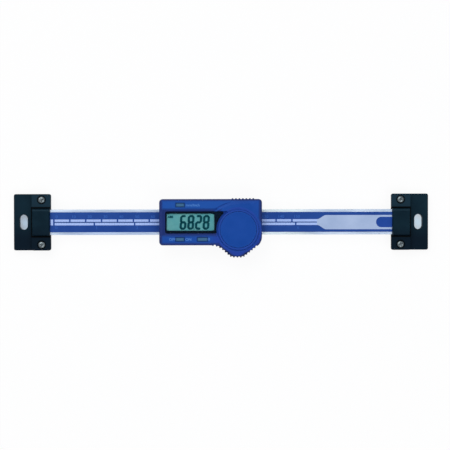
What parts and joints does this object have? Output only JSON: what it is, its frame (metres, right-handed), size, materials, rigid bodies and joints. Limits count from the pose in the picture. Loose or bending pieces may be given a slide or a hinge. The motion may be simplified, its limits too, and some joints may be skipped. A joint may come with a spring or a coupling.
{
  "type": "digital linear scale",
  "caption": "Flat steel linear scale with a graduated blue face, slotted end brackets, and a display unit that slides along it and carries keys and a round battery cover.",
  "frame": {"origin": "centre of the left bracket's slot, on the plane that the brackets' feet stand on", "axes": "+X along the beam towards the right bracket, +Y across the beam towards the slider's upper edge, +Z away from the mounting plane, out of the display"},
  "size_m": [0.2622, 0.04, 0.018],
  "materials": {
    "beam_steel": "ground stainless steel, fine lines along its length",
    "grating": "laminate strip with a copper pattern",
    "label_blue": "printed film, satin",
    "bracket_black": "satin black paint on a zinc casting",
    "screw_steel": "bright plated steel",
    "chassis_steel": "satin stainless steel",
    "gib_brass": "machined brass",
    "black_steel": "black oxide steel",
    "plate_aluminium": "brushed aluminium plate",
    "board_green": "solder-masked board",
    "chip_black": "epoxy blob over the chip",
    "switch_steel": "metal-cased switches",
    "display_glass": "reflective liquid crystal cell",
    "holder_plastic": "moulded frame",
    "contact_rubber": "layered conductive rubber",
    "window_black": "clear window with a dark printed surround",
    "housing_blue": "fine-textured moulded plastic",
    "cell_steel": "nickel-plated steel",
    "contact_gold": "gold-plated spring metal",
    "key_grey": "satin moulded key",
    "cover_blue": "fine-textured moulded plastic",
    "seal_rubber": "soft flat ring"
  },
  "bodies": {
    "scale": {"beam": "beam_steel", "grating_strip": "grating", "scale_label": "label_blue", "left_base": "bracket_black", "left_cover": "bracket_black", "left_screws": "screw_steel", "right_base": "bracket_black", "right_cover": "bracket_black", "right_screws": "screw_steel"},
    "slider": {"slider_frame": "chassis_steel", "gib_strip": "gib_brass", "gib_screws": "black_steel", "mounting_plate": "plate_aluminium", "slider_screws": "screw_steel", "reader_board": "board_green", "circuit_board": "board_green", "controller_chip": "chip_black", "key_switches": "switch_steel", "display_glass": "display_glass", "display_holder": "holder_plastic", "contact_strips": "contact_rubber", "display_window": "window_black", "front_housing": "housing_blue", "coin_cell": "cell_steel", "cell_contact_plus": "contact_gold", "cell_contact_minus": "contact_gold", "cover_seal": "seal_rubber"},
    "unit_key": {"unit_key": "key_grey"},
    "power_key": {"power_key": "key_grey"},
    "zero_key": {"zero_key": "key_grey"},
    "battery_cover": {"battery_cover": "cover_blue"}
  },
  "joints": [
    {"name": "slider_travel", "type": "slide", "parent": "scale", "child": "slider", "axis": [1, 0, 0], "range_m": [-0.06828, 0.08172]},
    {"name": "unit_key_press", "type": "slide", "parent": "slider", "child": "unit_key", "axis": [0, 0, -1], "range_m": [0, 0.0005], "stiffness_N_per_m": 1500, "springref_m": -0.0002},
    {"name": "power_key_press", "type": "slide", "parent": "slider", "child": "power_key", "axis": [0, 0, -1], "range_m": [0, 0.0005], "stiffness_N_per_m": 1500, "springref_m": -0.0002},
    {"name": "zero_key_press", "type": "slide", "parent": "slider", "child": "zero_key", "axis": [0, 0, -1], "range_m": [0, 0.0005], "stiffness_N_per_m": 1500, "springref_m": -0.0002},
    {"name": "battery_cover_turn", "type": "hinge", "parent": "slider", "child": "battery_cover", "pos_m": [0.13563, -0.00465, 0.018], "axis": [0, 0, 1], "range_deg": [0, 40]}
  ]
}
